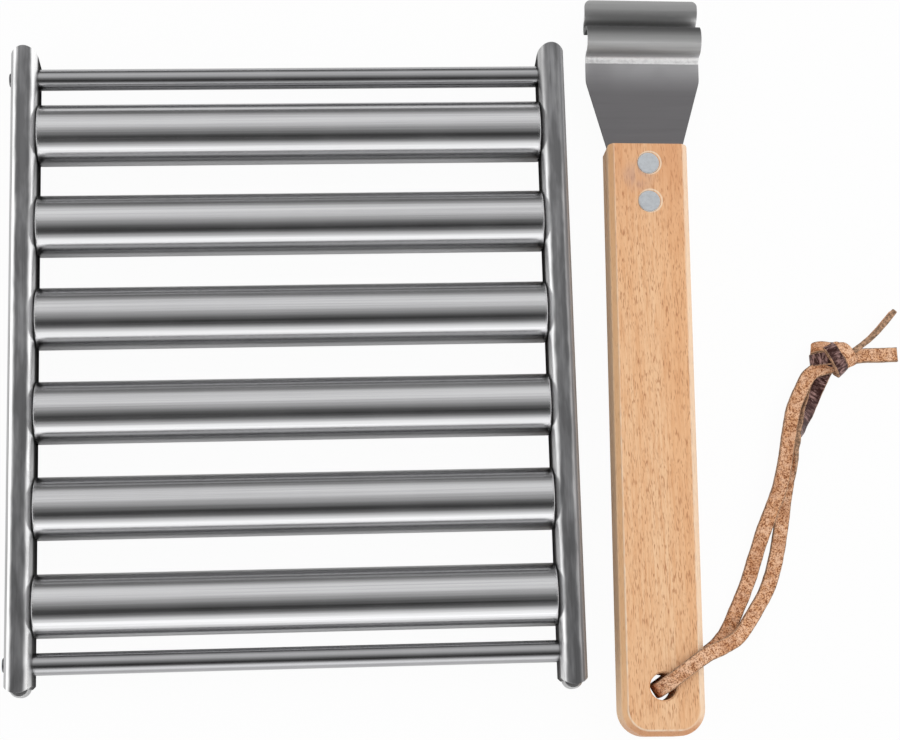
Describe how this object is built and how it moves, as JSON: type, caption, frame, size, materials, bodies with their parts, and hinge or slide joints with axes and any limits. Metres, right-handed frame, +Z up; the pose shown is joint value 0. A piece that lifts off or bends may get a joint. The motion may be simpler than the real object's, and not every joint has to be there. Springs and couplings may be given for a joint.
{
  "type": "sausage roller rack",
  "caption": "Stainless roller rack for turning sausages on a grill, with a detached wooden handle that has a bent steel hook plate and a leather thong.",
  "frame": {"origin": "middle of the footprint of the rack and the handle, on the surface they lie on, the thong left out", "axes": "+X along the roller axles, from the rack to the handle; +Y along the rails and the handle, from the grip's end to the hook; +Z up"},
  "size_m": [0.2768, 0.2324, 0.0193],
  "materials": {
    "rail_steel": "satin stainless sheet, bright flanks",
    "plug_steel": "hand-ground stainless",
    "bar_steel": "bright drawn stainless",
    "screw_steel": "bright stainless",
    "roller_steel": "polished stainless tube with fine turning lines",
    "grip_wood": "smooth oiled beech with short dark flecks",
    "plate_steel": "satin stainless sheet with a faint brown tint",
    "rivet_metal": "satin",
    "thong_leather": "dark brown, smooth on one face and tan suede on the other"
  },
  "bodies": {
    "rack": {"left_rail": "rail_steel", "right_rail": "rail_steel", "left_far_plug": "plug_steel", "left_near_plug": "plug_steel", "right_far_plug": "plug_steel", "right_near_plug": "plug_steel", "far_end_bar": "bar_steel", "near_end_bar": "bar_steel", "far_bar_screw": "screw_steel", "near_bar_screw": "screw_steel"},
    "roller_1": {"roller_1_tube": "roller_steel", "roller_1_left_cap": "roller_steel", "roller_1_right_cap": "roller_steel"},
    "roller_2": {"roller_2_tube": "roller_steel", "roller_2_left_cap": "roller_steel", "roller_2_right_cap": "roller_steel"},
    "roller_3": {"roller_3_tube": "roller_steel", "roller_3_left_cap": "roller_steel", "roller_3_right_cap": "roller_steel"},
    "roller_4": {"roller_4_tube": "roller_steel", "roller_4_left_cap": "roller_steel", "roller_4_right_cap": "roller_steel"},
    "roller_5": {"roller_5_tube": "roller_steel", "roller_5_left_cap": "roller_steel", "roller_5_right_cap": "roller_steel"},
    "roller_6": {"roller_6_tube": "roller_steel", "roller_6_left_cap": "roller_steel", "roller_6_right_cap": "roller_steel"},
    "handle": {"handle_grip": "grip_wood", "hook_plate": "plate_steel", "front_rivet": "rivet_metal", "rear_rivet": "rivet_metal", "thong_over_strand": "thong_leather", "thong_under_strand": "thong_leather", "thong_knot": "thong_leather", "thong_thin_tail": "thong_leather", "thong_flat_tail": "thong_leather"}
  },
  "joints": [
    {"name": "roller_1_spin", "type": "hinge", "parent": "rack", "child": "roller_1", "pos_m": [-0.02183, 0.07204, 0.0095], "axis": [1, 0, 0], "continuous": true},
    {"name": "roller_2_spin", "type": "hinge", "parent": "rack", "child": "roller_2", "pos_m": [-0.02183, 0.04304, 0.0095], "axis": [1, 0, 0], "continuous": true},
    {"name": "roller_3_spin", "type": "hinge", "parent": "rack", "child": "roller_3", "pos_m": [-0.02183, 0.01404, 0.0095], "axis": [1, 0, 0], "continuous": true},
    {"name": "roller_4_spin", "type": "hinge", "parent": "rack", "child": "roller_4", "pos_m": [-0.02183, -0.01496, 0.0095], "axis": [1, 0, 0], "continuous": true},
    {"name": "roller_5_spin", "type": "hinge", "parent": "rack", "child": "roller_5", "pos_m": [-0.02183, -0.04396, 0.0095], "axis": [1, 0, 0], "continuous": true},
    {"name": "roller_6_spin", "type": "hinge", "parent": "rack", "child": "roller_6", "pos_m": [-0.02183, -0.07296, 0.0095], "axis": [1, 0, 0], "continuous": true},
    {"name": "handle_lift", "type": "slide", "parent": "rack", "child": "handle", "axis": [0, 0, 1], "range_m": [0, 0.06]}
  ]
}
